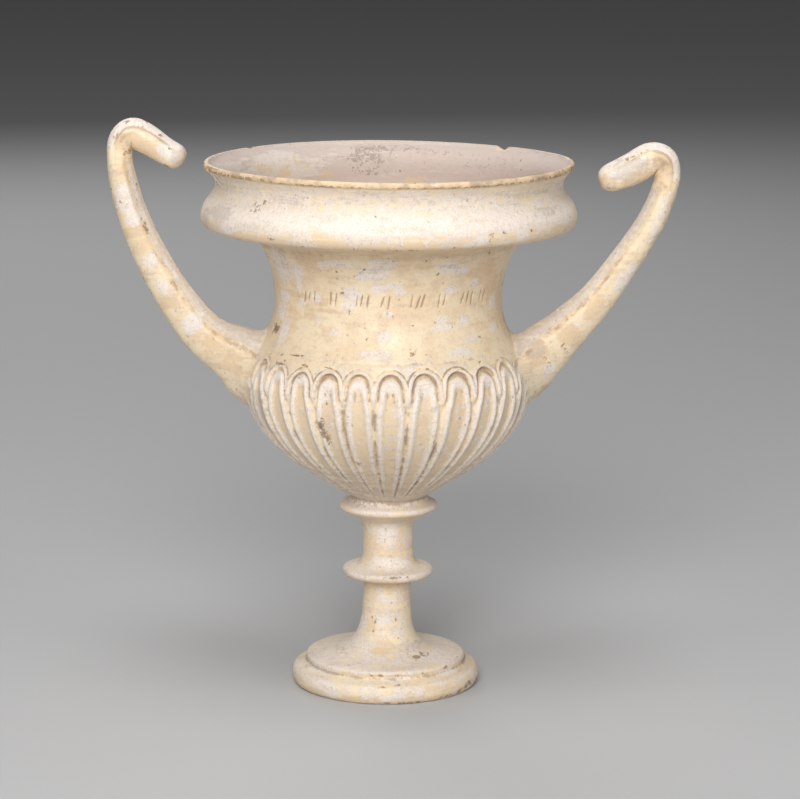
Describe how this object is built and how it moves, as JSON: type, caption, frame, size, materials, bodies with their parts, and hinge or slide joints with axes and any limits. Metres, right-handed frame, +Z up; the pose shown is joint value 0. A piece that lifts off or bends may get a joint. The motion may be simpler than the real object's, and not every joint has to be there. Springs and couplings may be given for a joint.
{
  "type": "kantharos",
  "caption": "Footed ceramic drinking cup with a tongue-carved belly, a rolled rim and two tall hooked handles.",
  "frame": {"origin": "middle of the foot's underside, where the cup's own axis meets the surface it stands on", "axes": "+Z up the axis to the lip, X through the two handles, -Y towards the side with the row of strokes on the neck"},
  "size_m": [0.2783, 0.1832, 0.2814],
  "materials": {
    "slipped_clay": "satin cream slip with chalky white patches over fired clay"
  },
  "bodies": {
    "root": {"kantharos": "slipped_clay"}
  },
  "joints": []
}
